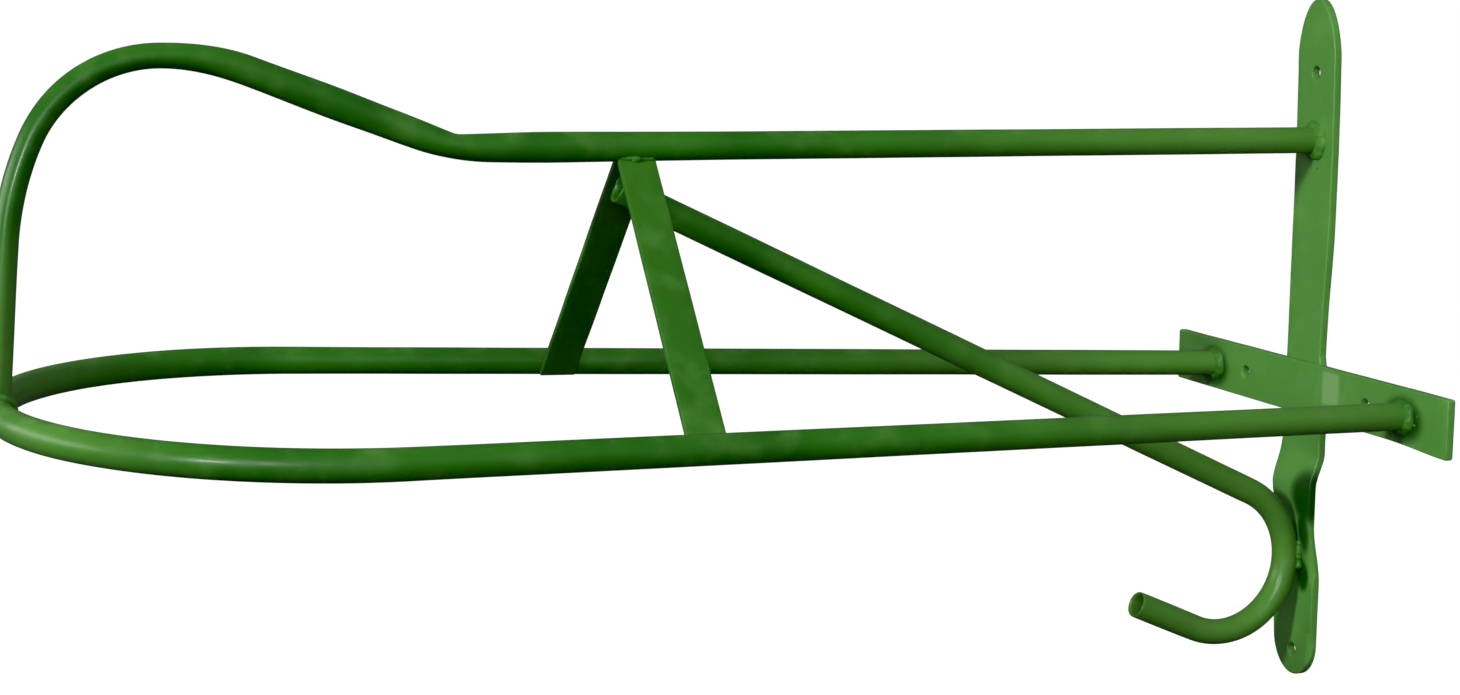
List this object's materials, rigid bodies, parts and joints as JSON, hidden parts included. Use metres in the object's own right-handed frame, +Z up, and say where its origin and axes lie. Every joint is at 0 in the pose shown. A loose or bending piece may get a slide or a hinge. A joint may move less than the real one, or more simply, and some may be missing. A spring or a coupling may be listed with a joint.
{
  "type": "wall-mounted saddle rack",
  "caption": "Wall-mounted saddle rack welded from green-painted steel tube and flat bar, with a raised pommel hump, a wide hoop under the saddle flaps and a bridle hook.",
  "frame": {"origin": "on the wall plane, at the back face of the vertical wall bar, behind the middle of the cross bar", "axes": "+Y points into the wall and the rack stands out along -Y; +Z is up; +X is to the right of a person facing the wall"},
  "size_m": [0.2676, 0.6277, 0.333],
  "materials": {
    "painted_tube": "glossy mid-green enamel on round steel tube",
    "painted_flat_bar": "glossy mid-green enamel on flat steel bar",
    "painted_weld": "glossy mid-green enamel over weld beads"
  },
  "bodies": {
    "root": {"vertical_wall_bar": "painted_flat_bar", "cross_wall_bar": "painted_flat_bar", "hoop_tube": "painted_tube", "saddle_rail_tube": "painted_tube", "brace_and_hook_tube": "painted_tube", "right_strut": "painted_flat_bar", "left_strut": "painted_flat_bar", "rail_wall_weld": "painted_weld", "rail_nose_weld": "painted_weld", "bar_joint_lower_weld": "painted_weld", "right_hoop_end_weld": "painted_weld", "left_hoop_end_weld": "painted_weld", "right_strut_top_weld": "painted_weld", "left_strut_top_weld": "painted_weld", "right_strut_foot_weld": "painted_weld", "left_strut_foot_weld": "painted_weld", "right_brace_top_weld": "painted_weld", "left_brace_top_weld": "painted_weld", "right_hook_weld": "painted_weld", "left_hook_weld": "painted_weld", "right_bar_joint_back_weld": "painted_weld", "left_bar_joint_back_weld": "painted_weld"}
  },
  "joints": []
}
